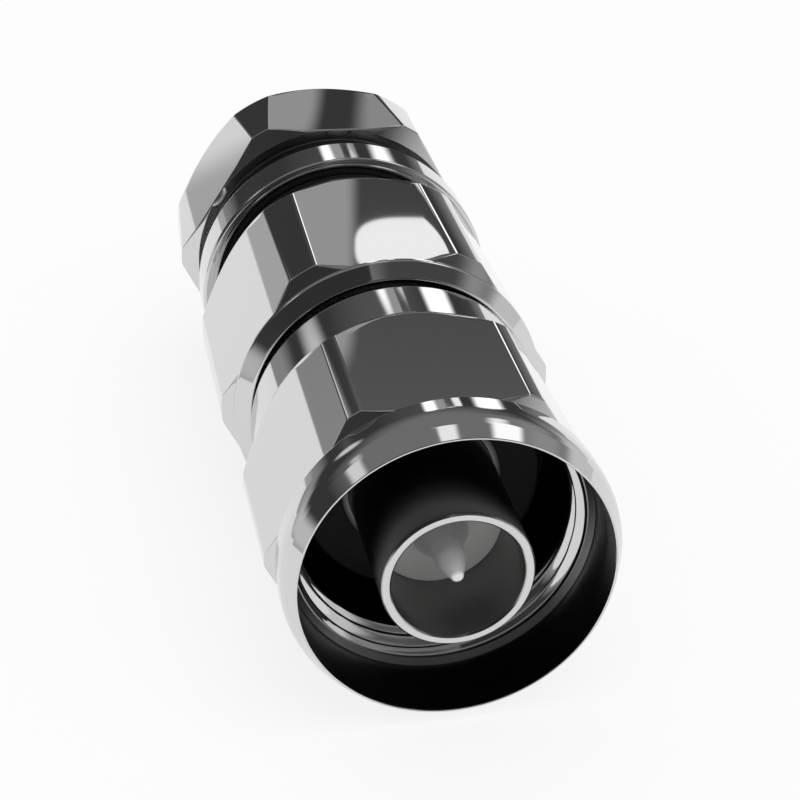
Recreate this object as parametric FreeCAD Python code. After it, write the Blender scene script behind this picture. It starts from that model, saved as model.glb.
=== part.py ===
import FreeCAD, Part
import math
import os

# Coaxial cable plug with a screw coupling and a cable clamp, in millimetres.
# The axis is +Y. Y = 0 is the mating plane at the front rim, and +Y runs towards the cable.
# +Z is up, square to an upper wrench flat, as the plug lies on a bench.

# Mating interface
sleeve_outer_d = 8.1
sleeve_bore_d = 7.0
sleeve_tip_chamfer = 0.12
pin_d = 1.65
pin_base_d = 3.04
pin_recess = 0.25
pin_nose_length = 0.9
pin_land_length = 2.1
pin_shoulder_length = 1.1
insulator_recess = 5.0
seal_plane_depth = 9.2
seal_thickness = 1.4
seal_hub_d = 8.9
coupling_thread_d = 15.875
coupling_thread_length = 3.0

# Hexagonal bar that the body and the clamp nut are turned from
wrench_size = 17.5

# Coupling nut
nut_wrench_size = 16.8
nut_length = 16.8
nut_corner_trim = 0.46
nut_counterbore_d = 16.6
nut_counterbore_depth = 3.9
nut_rim_land = 0.12
nut_rim_chamfer = 0.8
nut_rim_chamfer_deg = 27.0
nut_land_length = 0.75
nut_bead_height = 0.26
nut_bead_length = 1.35
nut_mark_depth = 0.1
nut_mark_width = 0.15
nut_ridge_height = 0.6
nut_ridge_length = 0.15
nut_corner_lead = 0.4
nut_flat_length = 10.15
nut_rear_taper_deg = 30.0
nut_skirt_d = 16.7
nut_rear_round = 0.4
nut_rear_wall = 3.9
nut_relief_d = 16.1

# Captive ring between the nut and the barrel
ring_width = 1.0
ring_wall = 1.35
ring_gap_deg = 24.0
ring_from_nut_back = 1.7

# Body
barrel_d = 13.9
barrel_chamfer = 0.3
body_front_gap = 0.85
body_ring_height = 0.25
body_ring_length = 0.9
body_corner_front_trim = 0.9
body_corner_rear_trim = 1.05
body_corner_lead = 1.8
body_flat_length = 11.65
body_rear_taper_deg = 30.0
body_rear_d = 16.6
body_rear_land = 0.5
edge_round = 0.2
insulator_step_depth = 13.4
insulator_rear_d = 9.2
clamp_step_depth = 18.6
clamp_cavity_d = 12.6

# Centre contact
pin_collar_d = 4.8
pin_collar_length = 1.0
pin_cup_d = 3.8
pin_cup_length = 7.6
pin_cup_bore_d = 2.5
pin_cup_bore_length = 6.4
pin_solder_hole_d = 1.0
pin_solder_hole_from_end = 1.8

# Cable clamping parts
dielectric_d = 7.5
jacket_bore_d = 10.8
braid_flange_length = 1.2
braid_nose_length = 2.6
braid_nose_front_d = 10.2
braid_nose_rear_d = 8.6
gasket_bore_d = 10.6
gasket_length = 3.9
gasket_groove_depth = 0.9
braid_room = 0.45
washer_thickness = 0.9
washer_bore_d = 11.4

# Clamp nut
clamp_thread_d = 14.0
clamp_nut_gap = 0.9
clamp_flange_d = 18.1
clamp_flange_length = 2.6
clamp_neck_d = 16.2
clamp_neck_length = 2.6
clamp_corner_front_trim = 0.6
clamp_corner_rear_trim = 1.3
clamp_hex_length = 7.6
clamp_front_lead = 0.45
clamp_rear_taper_deg = 33.0
clamp_rear_d = 16.8
clamp_entry_chamfer = 0.6
clamp_roll_deg = 3.0
seal_cord_d = 0.8

# Fits
insulator_clearance = 0.02
running_clearance = 0.06
thread_clearance = 0.06
side_clearance = 0.05
loose_clearance = 0.1

AXIS = FreeCAD.Vector(0, 1, 0)
ORIGIN = FreeCAD.Vector(0, 0, 0)


def edges_of(points):
    """Edges of a closed outline of (radius, y, fillet) points, drawn in the XY plane."""
    vectors = [FreeCAD.Vector(p[0], p[1], 0) for p in points]
    fillets = [p[2] if len(p) > 2 else 0.0 for p in points]
    count = len(points)
    entries = []
    for i in range(count):
        here = vectors[i]
        to_last = vectors[i - 1] - here
        to_next = vectors[(i + 1) % count] - here
        half_turn = to_last.getAngle(to_next) / 2
        reach = 0.0
        if fillets[i] > 0:
            room = 0.48 * min(to_last.Length, to_next.Length)
            reach = min(fillets[i] / math.tan(half_turn), room)
        if reach > 0:
            start = here + to_last.normalize() * reach
            end = here + to_next.normalize() * reach
            bisector = ((start + end) * 0.5 - here).normalize()
            radius = reach * math.tan(half_turn)
            middle = here + bisector * (radius / math.sin(half_turn) - radius)
            entries.append((start, middle, end))
        else:
            entries.append((here, None, here))
    edges = []
    for i in range(count):
        start, middle, end = entries[i]
        if middle is not None:
            edges.append(Part.Arc(start, middle, end).toShape())
        following = entries[(i + 1) % count][0]
        if (following - end).Length > 1e-6:
            edges.append(Part.LineSegment(end, following).toShape())
    return edges


def turned(points, angle=360.0):
    """Solid turned about the Y axis from a closed outline of (radius, y, fillet) points."""
    face = Part.Face(Part.Wire(edges_of(points)))
    return face.revolve(ORIGIN, AXIS, angle)


def hexagon_cutter(across_flats, y_start, y_end, outer_d, roll_deg):
    """Everything outside a hexagonal prism with a flat on top, turned by roll_deg about +Y."""
    corner = across_flats / 2 / math.cos(math.radians(30))
    corners = []
    for i in range(7):
        angle = math.radians(60 * i)
        corners.append(FreeCAD.Vector(corner * math.cos(angle), y_start, corner * math.sin(angle)))
    prism = Part.Face(Part.makePolygon(corners)).extrude(AXIS * (y_end - y_start))
    prism.rotate(ORIGIN, AXIS, roll_deg)
    drum = Part.makeCylinder(outer_d / 2, y_end - y_start, AXIS * y_start, AXIS)
    return drum.cut(prism)


def corner_diameter(across_flats, trim):
    """Diameter over the corners of a hexagon that are turned down by a trim."""
    return across_flats / math.cos(math.radians(30)) - trim


def taper_length(start_d, end_d, angle_deg):
    """Length of a cone between two diameters, with its surface at angle_deg to the axis."""
    return (start_d - end_d) / 2 / math.tan(math.radians(angle_deg))


# Hexagons and rings, worked out from the sizes above
nut_corner_d = corner_diameter(nut_wrench_size, nut_corner_trim)
nut_ridge_d = nut_wrench_size + 2 * nut_ridge_height
body_ring_d = wrench_size + 2 * body_ring_height
body_corner_front_d = corner_diameter(wrench_size, body_corner_front_trim)
body_corner_rear_d = corner_diameter(wrench_size, body_corner_rear_trim)
clamp_corner_front_d = corner_diameter(wrench_size, clamp_corner_front_trim)
clamp_corner_rear_d = corner_diameter(wrench_size, clamp_corner_rear_trim)

# Planes along the axis, worked out from the sizes above
nut_hex_start = (nut_rim_chamfer + nut_land_length + nut_bead_length + nut_mark_width
                 + nut_ridge_length)
nut_hex_end = nut_hex_start + nut_flat_length
nut_taper_start = nut_hex_end - taper_length(nut_corner_d, nut_wrench_size,
                                             nut_rear_taper_deg)
nut_skirt_start = nut_taper_start + taper_length(nut_corner_d, nut_skirt_d,
                                                 nut_rear_taper_deg)
nut_wall_start = nut_length - nut_rear_wall
ring_back = nut_length - ring_from_nut_back
ring_front = ring_back - ring_width
body_ring_start = nut_length + body_front_gap
body_hex_start = body_ring_start + body_ring_length
body_hex_end = body_hex_start + body_flat_length
body_taper_start = body_hex_end - taper_length(body_corner_rear_d, wrench_size,
                                               body_rear_taper_deg)
body_taper_end = body_taper_start + taper_length(body_corner_rear_d, body_rear_d,
                                                 body_rear_taper_deg)
body_end = body_taper_end + body_rear_land
seal_seat = seal_plane_depth + seal_thickness
braid_end = clamp_step_depth + braid_flange_length + braid_nose_length
gasket_front = clamp_step_depth + braid_flange_length + braid_room
gasket_end = gasket_front + gasket_length
washer_front = gasket_end + side_clearance
shank_front = washer_front + washer_thickness + loose_clearance
clamp_flange_front = body_end + clamp_nut_gap
clamp_flange_end = clamp_flange_front + clamp_flange_length
clamp_hex_start = clamp_flange_end + clamp_neck_length
clamp_end = clamp_hex_start + clamp_hex_length
clamp_taper_start = clamp_end - taper_length(clamp_corner_rear_d, clamp_rear_d,
                                             clamp_rear_taper_deg)


def coupling_nut():
    """Hexagonal nut with a turned collar, thread bore, relief and rear bore for the ring."""
    rim_r = nut_counterbore_d / 2 + nut_rim_land
    land_r = rim_r + nut_rim_chamfer * math.tan(math.radians(nut_rim_chamfer_deg))
    land_end = nut_rim_chamfer + nut_land_length
    bead_end = land_end + nut_bead_length
    mark_end = bead_end + nut_mark_width
    barrel_bore_r = barrel_d / 2 + running_clearance
    groove_r = barrel_bore_r + ring_wall / 2 + loose_clearance
    thread_start = nut_counterbore_depth + (nut_counterbore_d - coupling_thread_d) / 2
    thread_end = nut_counterbore_depth + coupling_thread_length
    blank = turned([
        (nut_counterbore_d / 2, 0),
        (rim_r, 0),
        (land_r, nut_rim_chamfer, edge_round),
        (land_r, land_end),
        (land_r + nut_bead_height, land_end + nut_bead_length * 0.4, nut_bead_length / 2),
        (land_r, bead_end),
        (land_r - nut_mark_depth, bead_end),
        (land_r - nut_mark_depth, mark_end),
        (nut_ridge_d / 2, mark_end, edge_round),
        (nut_ridge_d / 2, nut_hex_start),
        (nut_corner_d / 2, nut_hex_start + nut_corner_lead),
        (nut_corner_d / 2, nut_taper_start),
        (nut_skirt_d / 2, nut_skirt_start, edge_round),
        (nut_skirt_d / 2, nut_length, nut_rear_round),
        (barrel_bore_r, nut_length),
        (barrel_bore_r, ring_back + side_clearance),
        (groove_r, ring_back + side_clearance),
        (groove_r, ring_front - side_clearance),
        (barrel_bore_r, ring_front - side_clearance),
        (barrel_bore_r, nut_wall_start),
        (nut_relief_d / 2, nut_wall_start),
        (nut_relief_d / 2, thread_end),
        (coupling_thread_d / 2, thread_end),
        (coupling_thread_d / 2, thread_start),
        (nut_counterbore_d / 2, nut_counterbore_depth),
    ])
    flats = hexagon_cutter(nut_wrench_size, nut_hex_start, nut_skirt_start,
                           nut_corner_d + 2, 0)
    return blank.cut(flats)


def retaining_ring():
    """Split spring ring, half in the barrel's groove and half in the nut's."""
    outer_r = barrel_d / 2 + running_clearance + ring_wall / 2
    inner_r = outer_r - ring_wall
    ring = turned([
        (inner_r, ring_front),
        (outer_r, ring_front),
        (outer_r, ring_back),
        (inner_r, ring_back),
    ], 360 - ring_gap_deg)
    ring.rotate(ORIGIN, AXIS, 90 + ring_gap_deg / 2)
    return ring


def face_seal():
    """Flat rubber ring in front of the barrel that seals against the socket."""
    inner_r = seal_hub_d / 2 + insulator_clearance
    outer_r = barrel_d / 2 - barrel_chamfer
    return turned([
        (inner_r, seal_plane_depth),
        (outer_r, seal_plane_depth, edge_round),
        (outer_r, seal_seat),
        (inner_r, seal_seat),
    ])


def plug_body():
    """Contact sleeve, grooved barrel and hexagonal body with its stepped bore, in one piece."""
    barrel_r = barrel_d / 2
    groove_r = barrel_r + running_clearance - ring_wall / 2 - loose_clearance
    thread_r = clamp_thread_d / 2
    blank = turned([
        (sleeve_bore_d / 2 + sleeve_tip_chamfer, 0),
        (sleeve_outer_d / 2 - sleeve_tip_chamfer, 0),
        (sleeve_outer_d / 2, sleeve_tip_chamfer),
        (sleeve_outer_d / 2, seal_plane_depth),
        (seal_hub_d / 2, seal_plane_depth),
        (seal_hub_d / 2, seal_seat),
        (barrel_r - barrel_chamfer, seal_seat),
        (barrel_r, seal_seat + barrel_chamfer),
        (barrel_r, ring_front - side_clearance),
        (groove_r, ring_front - side_clearance),
        (groove_r, ring_back + side_clearance),
        (barrel_r, ring_back + side_clearance),
        (barrel_r, body_ring_start),
        (body_ring_d / 2, body_ring_start, edge_round),
        (body_ring_d / 2, body_hex_start),
        (body_corner_front_d / 2, body_hex_start + body_corner_lead),
        (body_corner_rear_d / 2, body_taper_start),
        (body_rear_d / 2, body_taper_end, edge_round),
        (body_rear_d / 2, body_end, edge_round),
        (thread_r + barrel_chamfer, body_end),
        (thread_r, body_end - barrel_chamfer),
        (thread_r, washer_front),
        (clamp_cavity_d / 2, washer_front),
        (clamp_cavity_d / 2, clamp_step_depth),
        (insulator_rear_d / 2, clamp_step_depth),
        (insulator_rear_d / 2, insulator_step_depth),
        (sleeve_bore_d / 2, insulator_step_depth),
        (sleeve_bore_d / 2, sleeve_tip_chamfer),
    ])
    flats = hexagon_cutter(wrench_size, body_hex_start, body_taper_end,
                           body_corner_front_d + 2, 0)
    return blank.cut(flats)


def front_insulator():
    """Insulator inside the contact sleeve, bored for the thick part of the centre contact."""
    outer_r = sleeve_bore_d / 2 - insulator_clearance
    bore_r = pin_base_d / 2 + insulator_clearance
    return turned([
        (bore_r, insulator_recess),
        (outer_r, insulator_recess),
        (outer_r, insulator_step_depth),
        (bore_r, insulator_step_depth),
    ])


def rear_insulator():
    """Insulator behind the contact's collar, counterbored to trap it."""
    outer_r = insulator_rear_d / 2 - insulator_clearance
    bore_r = pin_cup_d / 2 + insulator_clearance
    pocket_r = pin_collar_d / 2 + insulator_clearance
    pocket_end = insulator_step_depth + pin_collar_length
    return turned([
        (pocket_r, insulator_step_depth),
        (outer_r, insulator_step_depth),
        (outer_r, clamp_step_depth),
        (bore_r, clamp_step_depth),
        (bore_r, pocket_end),
        (pocket_r, pocket_end),
    ])


def centre_contact():
    """Pin with a tapered nose and shoulder, a trapping collar and a solder cup with its hole."""
    nose_end = pin_recess + pin_nose_length
    land_end = nose_end + pin_land_length
    shoulder_end = land_end + pin_shoulder_length
    collar_end = insulator_step_depth + pin_collar_length
    cup_end = collar_end + pin_cup_length
    cup_floor = cup_end - pin_cup_bore_length
    pin = turned([
        (0, pin_recess),
        (pin_d / 4, pin_recess, pin_d / 8),
        (pin_d / 2, nose_end, pin_d / 2),
        (pin_d / 2, land_end),
        (pin_base_d / 2, shoulder_end),
        (pin_base_d / 2, insulator_step_depth),
        (pin_collar_d / 2, insulator_step_depth),
        (pin_collar_d / 2, collar_end),
        (pin_cup_d / 2, collar_end),
        (pin_cup_d / 2, cup_end),
        (pin_cup_bore_d / 2, cup_end),
        (pin_cup_bore_d / 2, cup_floor),
        (0, cup_floor),
    ])
    hole_y = cup_end - pin_solder_hole_from_end
    hole = Part.makeCylinder(pin_solder_hole_d / 2, pin_cup_d, AXIS * hole_y,
                             FreeCAD.Vector(0, 0, 1))
    return pin.cut(hole)


def braid_clamp():
    """Flanged ring whose tapered nose goes under the cable's braid."""
    outer_r = clamp_cavity_d / 2 - side_clearance
    flange_end = clamp_step_depth + braid_flange_length
    return turned([
        (dielectric_d / 2, clamp_step_depth),
        (outer_r, clamp_step_depth),
        (outer_r, flange_end),
        (braid_nose_front_d / 2, flange_end),
        (braid_nose_rear_d / 2, braid_end),
        (dielectric_d / 2, braid_end),
    ])


def cable_gasket():
    """Rubber gland ring with a V groove in its rear face."""
    inner_r = gasket_bore_d / 2
    outer_r = clamp_cavity_d / 2 - side_clearance
    groove_half = (outer_r - inner_r) / 4
    middle_r = (inner_r + outer_r) / 2
    return turned([
        (inner_r, gasket_front),
        (outer_r, gasket_front),
        (outer_r, gasket_end),
        (middle_r + groove_half, gasket_end),
        (middle_r, gasket_end - gasket_groove_depth),
        (middle_r - groove_half, gasket_end),
        (inner_r, gasket_end),
    ])


def thrust_washer():
    """Flat washer that keeps the turning clamp nut off the gasket."""
    outer_r = clamp_thread_d / 2 - loose_clearance
    return turned([
        (washer_bore_d / 2, washer_front),
        (outer_r, washer_front),
        (outer_r, washer_front + washer_thickness),
        (washer_bore_d / 2, washer_front + washer_thickness),
    ])


def clamp_nut():
    """Hollow hexagonal nut whose threaded shank closes the clamp and lets the cable in."""
    bore_r = jacket_bore_d / 2
    shank_r = clamp_thread_d / 2 - thread_clearance
    blank = turned([
        (bore_r, shank_front),
        (shank_r - barrel_chamfer, shank_front),
        (shank_r, shank_front + barrel_chamfer),
        (shank_r, clamp_flange_front),
        (clamp_flange_d / 2, clamp_flange_front, edge_round),
        (clamp_flange_d / 2, clamp_flange_end, edge_round),
        (clamp_neck_d / 2, clamp_flange_end),
        (clamp_neck_d / 2, clamp_hex_start),
        (wrench_size / 2, clamp_hex_start),
        (clamp_corner_front_d / 2, clamp_hex_start + clamp_front_lead),
        (clamp_corner_rear_d / 2, clamp_taper_start),
        (clamp_rear_d / 2, clamp_end),
        (bore_r + clamp_entry_chamfer, clamp_end),
        (bore_r, clamp_end - clamp_entry_chamfer),
    ])
    flats = hexagon_cutter(wrench_size, clamp_hex_start, clamp_end,
                           clamp_corner_front_d + 2, clamp_roll_deg)
    return blank.cut(flats)


def sealing_ring():
    """Round rubber ring on the clamp nut's shank, against its flange."""
    cord_r = seal_cord_d / 2
    centre_r = clamp_thread_d / 2 - thread_clearance / 2 + cord_r
    centre = FreeCAD.Vector(centre_r, clamp_flange_front - thread_clearance / 2 - cord_r, 0)
    circle = Part.Circle(centre, FreeCAD.Vector(0, 0, 1), cord_r)
    face = Part.Face(Part.Wire([circle.toShape()]))
    return face.revolve(ORIGIN, AXIS, 360)


NODES = {
    "coupling_nut": coupling_nut,
    "retaining_ring": retaining_ring,
    "face_seal": face_seal,
    "plug_body": plug_body,
    "front_insulator": front_insulator,
    "rear_insulator": rear_insulator,
    "centre_contact": centre_contact,
    "braid_clamp": braid_clamp,
    "cable_gasket": cable_gasket,
    "thrust_washer": thrust_washer,
    "clamp_nut": clamp_nut,
    "sealing_ring": sealing_ring,
}

os.makedirs("parts", exist_ok=True)
for name, build in NODES.items():
    shape = build()
    if shape.ShapeType == "Compound" and len(shape.Solids) == 1:
        shape = shape.Solids[0]
    print(name, shape.isValid(), len(shape.Solids), round(shape.Volume, 2))
    shape.exportStep(os.path.join("parts", name + ".step"))
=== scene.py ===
"""Dresses a packed coaxial cable plug as polished nickel plate in a small photo studio.

The visible metal pieces are surfaces of revolution with hexagons cut into them. Each is computed as one
grid: rows follow a turned profile, columns go round the axis. A profile point has a radius R and a place y
along the axis. Where a row is hexed, the radius at an angle a from the middle of a flat is the smooth
minimum of R and H / cos a, H being half the distance across the flats, so the flats are true planes and
their edges are slightly broken. The columns gather where R and H / cos a are equal, so that the edge of a
flat runs along mesh lines. Threads are grids too: their radius is a truncated triangle wave of
y / pitch - turns, where turns is the angle round the axis as a share of a full turn.
"""

import logging
import math
from dataclasses import dataclass, field
from enum import Enum

import bpy
import numpy as np
from mathutils import Matrix, Quaternion, Vector

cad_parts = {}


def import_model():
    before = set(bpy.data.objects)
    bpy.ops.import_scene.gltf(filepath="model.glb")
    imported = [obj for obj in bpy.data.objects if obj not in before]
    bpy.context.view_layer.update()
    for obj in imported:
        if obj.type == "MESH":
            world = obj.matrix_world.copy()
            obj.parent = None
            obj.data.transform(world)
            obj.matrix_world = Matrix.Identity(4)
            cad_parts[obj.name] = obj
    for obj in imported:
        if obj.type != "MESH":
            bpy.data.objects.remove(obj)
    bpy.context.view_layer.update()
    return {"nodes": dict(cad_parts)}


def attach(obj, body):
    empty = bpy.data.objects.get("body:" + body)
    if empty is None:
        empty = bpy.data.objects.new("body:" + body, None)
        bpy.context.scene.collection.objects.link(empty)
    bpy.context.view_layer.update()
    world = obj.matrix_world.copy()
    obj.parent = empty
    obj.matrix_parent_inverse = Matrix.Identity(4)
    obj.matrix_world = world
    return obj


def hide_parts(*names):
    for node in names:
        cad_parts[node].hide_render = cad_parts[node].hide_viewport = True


log = logging.getLogger("plug")

MM = 0.001
RING_START = 14.05  # groove of the split ring that holds the coupling nut, from the mating plane
RING_END = 15.15
HEX_STEP = 0.02  # fine step where a hexagon starts, in millimetres
SAME = 1e-5  # points nearer to each other than this, in millimetres, are one
EMPTY = 1e-10  # a triangle of less area than this, in square millimetres, is left out


class Zone(Enum):
    """How the surface after a profile point is cut and plated, and how far its colour is darkened as painted
    shade.
    """

    TURNED = 0  # turned and polished
    HEXED = 1  # turned, then milled to a hexagon
    DEEP = 2  # deep in a bore: the plate is dull and its colour fully darkened as painted shade
    BORED = 3  # the mouth of a bore or a narrow recess: less dull, its colour partly darkened as painted shade


class Slot(Enum):
    """Material slots of the record."""

    NICKEL = "nickel_plate"
    PIN = "pin_plate"
    BRONZE = "spring_bronze"
    BRASS = "bare_brass"
    INSULATOR = "insulator"
    RUBBER = "black_rubber"


# Profiles and grids


@dataclass(frozen=True)
class Point:
    """One corner of a turned profile, in millimetres.

    Args:
        r: distance from the axis.
        y: place along the axis.
        fillet: radius that rounds the corner.
        zone: how the surface is finished from here on.
        steps: spans into which the straight run after this corner is divided.
    """

    r: float
    y: float
    fillet: float = 0.03
    zone: Zone = Zone.TURNED
    steps: int = 1


def straight(places: np.ndarray, way: np.ndarray, zone: Zone) -> np.ndarray:
    """Profile rows on a straight run.

    Args:
        places: radius and y of each row.
        way: unit direction of the run.
        zone: how it is finished.

    Returns:
        Radius, y, outward normal and zone of each row.
    """
    return np.c_[places, np.tile([way[1], -way[0], zone.value], (len(places), 1))]


def rounded(start: np.ndarray, way: np.ndarray, turn: float, reach: float, steps: int,
            zone: Zone) -> np.ndarray:
    """Profile rows round a corner.

    Args:
        start: radius and y where the arc begins.
        way: unit direction of the run that ends there.
        turn: angle of the corner, in radians.
        reach: distance from the arc's start to the sharp corner.
        steps: spans in the arc.
        zone: how it is finished.

    Returns:
        Radius, y, outward normal and zone of each row.
    """
    bend = math.copysign(reach / abs(math.tan(turn / 2)), turn)
    angle = math.atan2(-way[0], way[1]) + turn * np.linspace(0, 1, steps + 1)
    normal = np.c_[np.cos(angle), np.sin(angle)]
    return np.c_[start + bend * (normal - normal[0]), normal, np.full(len(angle), float(zone.value))]


@dataclass(frozen=True)
class Profile:
    """Rows of a turned surface: radius, place, outward normal and zone."""

    r: np.ndarray
    y: np.ndarray
    nr: np.ndarray
    ny: np.ndarray
    zone: np.ndarray

    def is_in(self, zone: Zone) -> np.ndarray:
        """Which rows lie in a zone, as a column of truth values."""
        return self.zone[:, None] == zone.value

    def dullness_and_shade(self) -> np.ndarray:
        """How dull each row's plate is and how far its colour is darkened as painted shade: fully deep in a
        bore, and partly in its mouth.
        """
        return self.is_in(Zone.DEEP) + 0.7 * self.is_in(Zone.BORED)

    @staticmethod
    def through(points: list[Point], closed: bool = True, arc_steps: int = 5) -> "Profile":
        """Rounds the corners of an outline and divides its runs.

        Args:
            points: corners, with the metal on the left of the way they go.
            closed: whether the last corner joins the first.
            arc_steps: spans in each rounded corner.

        Returns:
            The rows in order, each with the unit normal of the rounded outline.
        """
        places = np.array([(point.r, point.y) for point in points])
        ahead = np.roll(places, -1, 0) - places
        length = np.linalg.norm(ahead, axis=1)
        way = ahead / np.maximum(length, 1e-12)[:, None]
        before = np.roll(way, 1, 0)
        cross = before[:, 0] * way[:, 1] - before[:, 1] * way[:, 0]
        turn = np.arctan2(cross, (before * way).sum(1))
        if not closed:
            turn[[0, -1]] = 0
            way[-1] = way[-2]
        fillet = np.array([point.fillet for point in points])
        # A rounded corner takes just under half of the shorter run beside it, which leaves room for the next.
        room = 0.49 * np.minimum(np.roll(length, 1), length)
        reach = np.minimum(fillet * np.abs(np.tan(turn / 2)), room)
        rows: list[np.ndarray] = []
        for i, point in enumerate(points):
            if abs(turn[i]) > 1e-4 and reach[i] > 0:
                start = places[i] - before[i] * reach[i]
                rows.append(rounded(start, before[i], turn[i], reach[i], arc_steps, point.zone))
            else:
                rows.append(straight(places[i:i + 1], way[i], point.zone))
            after = (i + 1) % len(points)
            if point.steps > 1 and (closed or after):
                share = np.linspace(0, 1, point.steps + 1)[1:-1, None]
                first, last = places[i] + way[i] * reach[i], places[after] - way[i] * reach[after]
                rows.append(straight(first + (last - first) * share, way[i], point.zone))
        if closed:
            rows.append(rows[0][:1])
        table = np.concatenate(rows)
        return Profile(*(table[:, k] for k in range(5)))


@dataclass(frozen=True)
class Skin:
    """A grid of points that becomes one closed mesh.

    Args:
        points: places, in millimetres, by row and column.
        normals: unit normals.
        flat: how much of each point belongs to a milled flat.
        deep: how dull the plate is there, and how far its colour is darkened as painted shade.
    """

    points: np.ndarray
    normals: np.ndarray
    flat: np.ndarray
    deep: np.ndarray

    def corners(self) -> np.ndarray:
        """Grid points at the corners of the triangles, with the last column joined to the first."""
        rows, columns = self.points.shape[:2]
        index = np.arange(rows * columns).reshape(rows, columns)
        index = np.concatenate([index, index[:, :1]], 1)
        a, b = index[:-1, :-1].ravel(), index[1:, :-1].ravel()
        c, d = index[1:, 1:].ravel(), index[:-1, 1:].ravel()
        return np.concatenate([np.stack([a, b, c], 1), np.stack([a, c, d], 1)])

    def to_object(self, name: str) -> bpy.types.Object:
        """Joins the grid's coinciding points, drops empty triangles and links the mesh.

        Args:
            name: the object's name.

        Returns:
            The new object, at the origin, in metres.
        """
        corners = self.corners()
        every = self.points.reshape(-1, 3)
        keys = np.round(every / SAME).astype(np.int64)
        kept, joined = np.unique(keys, axis=0, return_inverse=True)[0:2]
        joined = joined.reshape(-1)
        places = np.zeros((len(kept), 3))
        places[joined] = every
        triangles = joined[corners]
        p = places[triangles]
        area = np.linalg.norm(np.cross(p[:, 1] - p[:, 0], p[:, 2] - p[:, 0]), axis=1)
        sound = (triangles[:, 0] != triangles[:, 1]) & (triangles[:, 1] != triangles[:, 2])
        sound &= (triangles[:, 0] != triangles[:, 2]) & (area > EMPTY)
        triangles, corners = triangles[sound], corners[sound].ravel()
        mesh = bpy.data.meshes.new(name)
        mesh.vertices.add(len(places))
        mesh.vertices.foreach_set("co", (places * MM).astype(np.float32).ravel())
        mesh.loops.add(triangles.size)
        mesh.loops.foreach_set("vertex_index", triangles.astype(np.int32).ravel())
        mesh.polygons.add(len(triangles))
        mesh.polygons.foreach_set("loop_start", np.arange(0, triangles.size, 3, dtype=np.int32))
        mesh.update(calc_edges=True)
        mesh.polygons.foreach_set("use_smooth", np.ones(len(triangles), dtype=bool))
        mesh.normals_split_custom_set(self.normals.reshape(-1, 3)[corners].tolist())
        for label, values in (("flat_share", self.flat), ("dull_and_shade_share", self.deep)):
            share = mesh.attributes.new(label, "FLOAT", "CORNER")
            share.data.foreach_set("value", values.ravel()[corners].astype(np.float32))
        mesh.validate(verbose=False)
        made = bpy.data.objects.new(name, mesh)
        bpy.context.scene.collection.objects.link(made)
        return made


@dataclass(frozen=True)
class Lathe:
    """Turns a profile about the Y axis into a plain surface of revolution.

    Args:
        columns: spans round the axis.
    """

    columns: int = 180

    def skin(self, profile: Profile) -> Skin:
        """The turned surface.

        Args:
            profile: rows of the surface.

        Returns:
            The grid and its normals, with no flats.
        """
        angle = np.linspace(0, 2 * math.pi, self.columns, endpoint=False)
        cos, sin = np.cos(angle), np.sin(angle)
        r, y = profile.r[:, None], profile.y[:, None]
        points = np.stack(np.broadcast_arrays(r * cos, y, r * sin), -1)
        nr, ny = profile.nr[:, None], profile.ny[:, None]
        normals = np.stack(np.broadcast_arrays(nr * cos, ny, nr * sin), -1)
        none = np.zeros(points.shape[:2])
        return Skin(points, normals, none, profile.dullness_and_shade() + none)


@dataclass(frozen=True)
class HexLathe:
    """Turns a profile and mills a hexagon into its hexed rows.

    Args:
        across_flats: distance across the flats, in millimetres.
        roll_deg: turn of the hexagon about +Y from one with a flat on top.
        edge: how far the edge of a flat is broken.
        band: half width of the close columns along that edge.
        spans: spans in that band, in the flat beside it and in the corner beside it.
        least_deg, most_deg: limits of the band's angle from the middle of the flat.
    """

    across_flats: float
    roll_deg: float = 0.0
    edge: float = 0.06
    band: float = 0.12
    spans: int = 6
    least_deg: float = 10.0
    most_deg: float = 28.5

    def columns(self, radii: np.ndarray) -> np.ndarray:
        """Places the columns of one flat, closer together along its two edges.

        Args:
            radii: radius of each row before the flat is milled.

        Returns:
            For each row the columns' angles from the middle of the flat.
        """
        half = self.across_flats / 2
        reach = np.maximum(radii, half)
        limits = math.radians(self.least_deg), math.radians(self.most_deg)
        crease = np.clip(np.arccos(half / reach), *limits)[:, None]
        spread = self.band / reach[:, None]
        share = np.linspace(0, 1, self.spans + 1)
        inner = (crease - spread) * share[:-1]
        middle = crease + spread * (2 * share - 1)
        outer = crease + spread + (math.radians(30) - crease - spread) * share[1:]
        side = np.concatenate([inner, middle, outer], 1)
        return np.concatenate([-side[:, :0:-1], side[:, :-1]], 1)

    def skin(self, profile: Profile) -> Skin:
        """The hexed surface.

        Args:
            profile: rows of the turned blank.

        Returns:
            The grid, its normals and how much of each point belongs to a flat.
        """
        local = self.columns(profile.r)
        middles = math.radians(30) + np.arange(6) * math.radians(60) - math.radians(self.roll_deg)
        angle = (middles[None, :, None] + local[:, None, :]).reshape(len(local), -1)
        facing = np.repeat(middles, local.shape[1])[None, :]
        plane = self.across_flats / 2 / np.cos(np.tile(local, (1, 6)))
        rows = (profile.r, profile.y, profile.nr, profile.ny)
        radius, y, nr, ny = (np.broadcast_to(row[:, None], angle.shape) for row in rows)
        milled = np.clip(0.5 + 0.5 * (radius - plane) / self.edge, 0, 1)
        low = radius * (1 - milled) + plane * milled - self.edge * milled * (1 - milled)
        hexed = profile.is_in(Zone.HEXED)
        share = np.where(hexed, milled, 0.0)
        r = np.where(hexed, low, radius)
        points = np.stack([r * np.cos(angle), y, r * np.sin(angle)], -1)
        turned = np.stack([nr * np.cos(angle), ny, nr * np.sin(angle)], -1)
        flat = np.stack(np.broadcast_arrays(np.cos(facing), 0 * angle, np.sin(facing)), -1)
        normals = turned * (1 - share[..., None]) + flat * share[..., None]
        normals /= np.maximum(np.linalg.norm(normals, axis=-1, keepdims=True), 1e-9)
        return Skin(points, normals, share, profile.dullness_and_shade() + 0 * share)


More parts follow.
